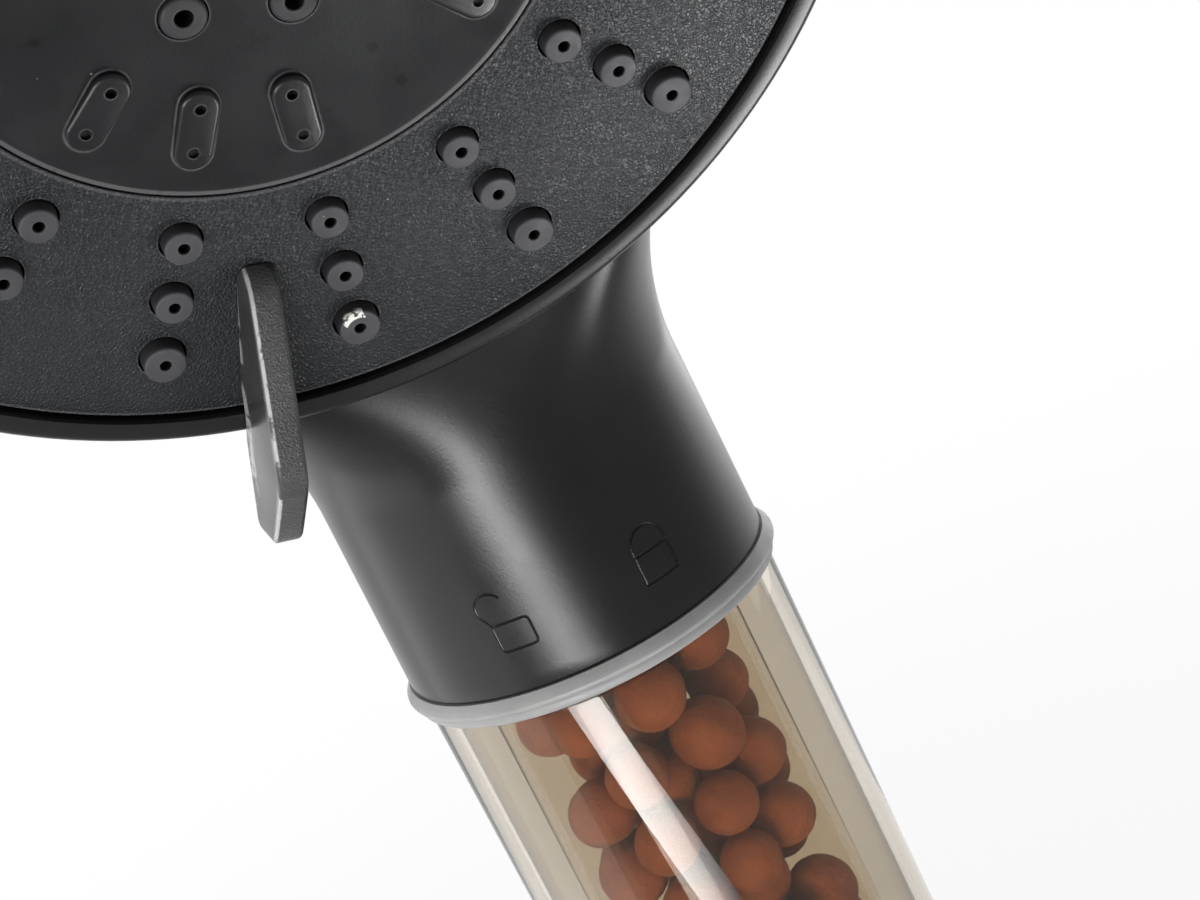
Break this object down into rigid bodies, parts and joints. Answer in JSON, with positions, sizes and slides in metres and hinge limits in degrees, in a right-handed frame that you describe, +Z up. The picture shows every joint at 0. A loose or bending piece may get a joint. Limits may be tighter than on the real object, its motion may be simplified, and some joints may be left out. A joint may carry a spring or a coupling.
{
  "type": "handheld shower head",
  "caption": "Handheld shower head with a clear ball-filled filter handle, a twist-lock neck and a round spray face turned by a thumb lever.",
  "frame": {"origin": "centre of the open end of the male hose thread", "axes": "+Z up the handle's axis, the spray face looks to -Y and 30 degrees down, +X to the right seen from the front"},
  "size_m": [0.11, 0.1042, 0.2747],
  "materials": {
    "shell": "fine matte texture, soft sheen",
    "face": "fine leather-like grain",
    "lever": "grained ridge, satin sides",
    "silicone": "soft matte silicone",
    "grey_ring": "satin",
    "clear_tube": "clear smoky moulded plastic, glossy",
    "cartridge": "clear moulded plastic",
    "balls": "fired clay, matte",
    "inner_plastic": "plain moulded",
    "metal": "bright",
    "seal": "plain"
  },
  "bodies": {
    "handle": {"inlet_fitting": "metal", "inlet_seal": "seal", "end_cap": "shell", "cap_seal": "seal", "foot_ring": "grey_ring", "handle_tube": "clear_tube", "collar_ring": "grey_ring", "spigot_seal": "seal", "cartridge_tube": "cartridge", "cartridge_foot": "inner_plastic", "cartridge_top": "inner_plastic", "foot_strainer": "metal", "top_strainer": "metal", "mineral_balls": "balls"},
    "head": {"head_shell": "shell", "bayonet_socket": "inner_plastic", "waterway": "inner_plastic", "diverter_body": "inner_plastic", "seal_spring": "metal", "seal_cup": "seal", "detent_spring": "metal", "pivot_washer": "metal", "pivot_screw": "metal"},
    "spray_face": {"face_plate": "face", "centre_disc": "face", "nozzle_mat": "silicone", "centre_nozzles": "silicone", "distributor": "inner_plastic", "centre_cap": "face", "selector_lever": "lever", "lever_screws": "metal"}
  },
  "joints": [
    {"name": "neck_twist", "type": "hinge", "parent": "handle", "child": "head", "pos_m": [0, 0, 0.14], "axis": [0, 0, 1], "range_deg": [0, 50]},
    {"name": "selector", "type": "hinge", "parent": "head", "child": "spray_face", "pos_m": [0, -0.0561, 0.2226], "axis": [0, -0.866, -0.5], "range_deg": [-20.5, 61.5], "deforming": ["detent_spring"]}
  ]
}
